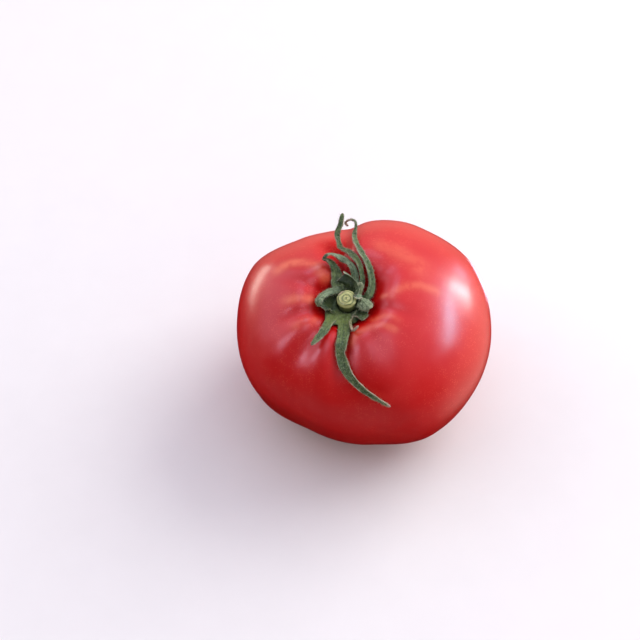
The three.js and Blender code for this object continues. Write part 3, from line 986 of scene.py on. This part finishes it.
def stem_material():
    n = Nodes("cut_stem")
    from_axis = n.value("from_axis")
    height = n.value("height")
    heading = n.value("heading")
    green, yellowish = (0.42, 0.47, 0.15, 1), (0.60, 0.62, 0.25, 1)
    ring_dark, spot_pale = (0.13, 0.18, 0.05, 1), (0.62, 0.63, 0.33, 1)
    tan = (0.40, 0.30, 0.20, 1)
    side_dark = (0.085, 0.13, 0.045, 1)
    # rings that wander a little in and out
    wander = n.ramp(n.noise(330.0, 3.0), 0.0, 1.0, -0.14, 0.14)
    rings = n.math("SINE", n.math("MULTIPLY", n.math("ADD", from_axis, wander), 19.0))
    colour = n.mix(n.noise(500.0, 3.0), green, yellowish)
    colour = n.mix(n.ramp(rings, 0.0, 0.8, 0.0, 0.85), colour, ring_dark)
    spots = n.ramp(n.noise(900.0, 3.0, 0.7), 0.56, 0.66)
    colour = n.mix(n.math("MULTIPLY", spots, 0.6), colour, spot_pale)
    # tan where the rim has dried, at the upper left
    off_place = n.math("ABSOLUTE", n.math("SUBTRACT", heading, 0.70))
    dried = n.math("MULTIPLY", n.ramp(off_place, 0.20, 0.08), n.ramp(from_axis, 0.62, 0.85))
    colour = n.mix(n.math("MULTIPLY", dried, 0.8), colour, tan)
    # darker down the sides
    colour = n.mix(n.ramp(height, 0.86, 0.62, 0.0, 0.8), colour, side_dark)
    n.set("Base Color", colour)
    n.set("Roughness", 0.6)
    fibres = n.bump(n.noise(800.0, 4.0, 0.7), 0.6, 0.0003)
    n.set("Normal", n.bump(rings, 0.35, 0.0002, fibres))
    return n.material


fruit.data.materials.append(skin_material())
calyx.data.materials.append(sepal_material())
hairs.data.materials.append(hair_material())
stub.data.materials.append(stem_material())

# The floor, the light and the camera


def floor_material():
    n = Nodes("pale_floor")
    darker, lighter = (0.85, 0.87, 0.83, 1), (0.89, 0.91, 0.87, 1)
    n.set("Base Color", n.mix(n.noise(60.0, 4.0), darker, lighter))
    n.set("Roughness", 0.85)
    return n.material


FLOOR_SIZE = 12
bpy.ops.mesh.primitive_plane_add(size=FLOOR_SIZE)
floor = bpy.context.object
floor.name = "floor"
floor.data.materials.append(floor_material())
floor.visible_glossy = False

# Soft light of the sky: most of it from above and behind, lilac up high and warmer near the
# horizon, and a second patch low on the right, which the right edge of the fruit mirrors

HIGH_SKY = (0.88, 0.80, 1.0, 1)
LOW_SKY = (1.0, 0.80, 0.68, 1)
world = bpy.data.worlds.new("studio")
world.use_nodes = True
bpy.context.scene.world = world
bpy.context.scene.view_settings.view_transform = "Standard"
sky_nodes = world.node_tree.nodes
sky_links = world.node_tree.links
direction = sky_nodes.new("ShaderNodeTexCoord").outputs["Generated"]


def along_direction(way, values):
    """A value that changes smoothly with how far a direction points along a given one.

    The values are that share, from -1 to 1, where the change begins and ends, and the value
    before and after it.
    """
    toward = sky_nodes.new("ShaderNodeVectorMath")
    toward.operation = "DOT_PRODUCT"
    toward.inputs[1].default_value = way
    sky_links.new(direction, toward.inputs[0])
    change = sky_nodes.new("ShaderNodeMapRange")
    change.interpolation_type = "SMOOTHSTEP"
    sky_links.new(toward.outputs["Value"], change.inputs["Value"])
    for key, value in zip(("From Min", "From Max", "To Min", "To Max"), values):
        change.inputs[key].default_value = value
    return change.outputs[0]


tint = sky_nodes.new("ShaderNodeMix")
tint.data_type = "RGBA"
tint.inputs[MIX_A].default_value = LOW_SKY
tint.inputs[MIX_B].default_value = HIGH_SKY
sky_links.new(along_direction((0, 0, 1), (-0.05, 0.4, 0, 1)), tint.inputs[MIX_SHARE])
background = sky_nodes["Background"]
sky_links.new(tint.outputs[MIX_RESULT], background.inputs["Color"])
behind = along_direction((0.17, 0.70, 0.69), (-0.12, 0.75, 0.0, 1.04))
low_right = along_direction((0.91, 0.12, -0.38), (0.74, 0.97, 0.0, 1.25))
strength = sky_nodes.new("ShaderNodeMath")
strength.operation = "ADD"
sky_links.new(behind, strength.inputs[0])
sky_links.new(low_right, strength.inputs[1])
sky_links.new(strength.outputs[0], background.inputs["Strength"])

MIDDLE = Vector((0.004, 0.004, 0.035))  # of the fruit


def soft_light(name, azimuth, elevation, distance, size, watts, colour, roll=0.0, mirrored=False):
    """A rectangular lamp that faces the fruit.

    The azimuth is from +X towards +Y, angles are in degrees, and lengths in metres. A lamp either
    lights the surfaces or is mirrored in them.
    """
    a, e = math.radians(azimuth), math.radians(elevation)
    away = Vector((math.cos(e) * math.cos(a), math.cos(e) * math.sin(a), math.sin(e)))
    data = bpy.data.lights.new(name, "AREA")
    data.shape = "RECTANGLE"
    data.size, data.size_y = size
    data.energy = watts
    data.color = colour
    lamp = bpy.data.objects.new(name, data)
    lamp.location = MIDDLE + away * distance
    facing = away.to_track_quat("Z", "Y")
    lamp.rotation_mode = "QUATERNION"
    lamp.rotation_quaternion = facing @ Quaternion((0, 0, 1), math.radians(roll))
    lamp.visible_glossy = mirrored
    lamp.visible_diffuse = not mirrored
    bpy.context.scene.collection.objects.link(lamp)


# Daylight from the right and behind, and weaker light from the other sides
soft_light("day", 36, 33, 1.3, (1.1, 0.9), 13.5, (1.0, 0.95, 0.95))
soft_light("right_fill", -8, 12, 1.3, (1.0, 0.5), 3.4, (1.0, 0.94, 0.93))
soft_light("front_fill", -60, 25, 1.5, (1.2, 0.8), 3.4, (1.0, 0.93, 0.92))
soft_light("left_fill", 170, 35, 1.5, (1.2, 0.8), 3.6, (1.0, 0.90, 0.93))
soft_light("left_low", 168, 4, 1.3, (1.0, 0.5), 3.2, (1.0, 0.93, 0.9))

# What the skin mirrors: the bright patch on the right with its haze and its long leg, the streak
# on the left, and a bluish or lilac sheen
BLUISH = (0.75, 0.75, 1.0)
LILAC = (0.84, 0.76, 1.0)
soft_light("window", 32, 9.5, 0.9, (0.06, 0.30), 3.2, (0.8, 0.96, 1.0), -14, mirrored=True)
soft_light("window_top", 43, 0.5, 0.9, (0.13, 0.18), 0.5, (0.5, 0.7, 1.0), mirrored=True)
soft_light("window_leg", 12, 25, 0.9, (0.50, 0.13), 5.4, (0.15, 0.74, 1.0), mirrored=True)
soft_light("left_window", 139, 3, 0.9, (0.36, 0.20), 2.3, (0.9, 0.90, 0.80), -20, mirrored=True)
soft_light("roof", 110, 60, 1.0, (0.5, 0.36), 1.6, (0.3, 0.65, 1.0), mirrored=True)
soft_light("left_wall", 156, 32, 1.0, (0.7, 0.5), 1.5, LILAC, mirrored=True)
soft_light("left_high", 196, 44, 1.0, (0.2, 0.2), 1.8, BLUISH, mirrored=True)
soft_light("front_high", -90, 76, 1.0, (0.5, 0.4), 1.5, BLUISH, mirrored=True)
soft_light("low_back", 60, -41, 0.9, (0.12, 0.12), 0.7, LILAC, mirrored=True)

# The camera looks down at 55 degrees over the horizon, from where the fruit has the size and the
# place that it has in the photo

EYE = Vector((-0.01206, -0.29267, 0.46393))
AIM = Vector((-0.01206, 0.00753, 0.03520))
camera_data = bpy.data.cameras.new("camera")
camera_data.lens = 80
camera_data.sensor_width = 36
camera = bpy.data.objects.new("camera", camera_data)
bpy.context.scene.collection.objects.link(camera)
bpy.context.scene.camera = camera
camera.location = EYE
camera.rotation_euler = (AIM - EYE).to_track_quat("-Z", "Y").to_euler()
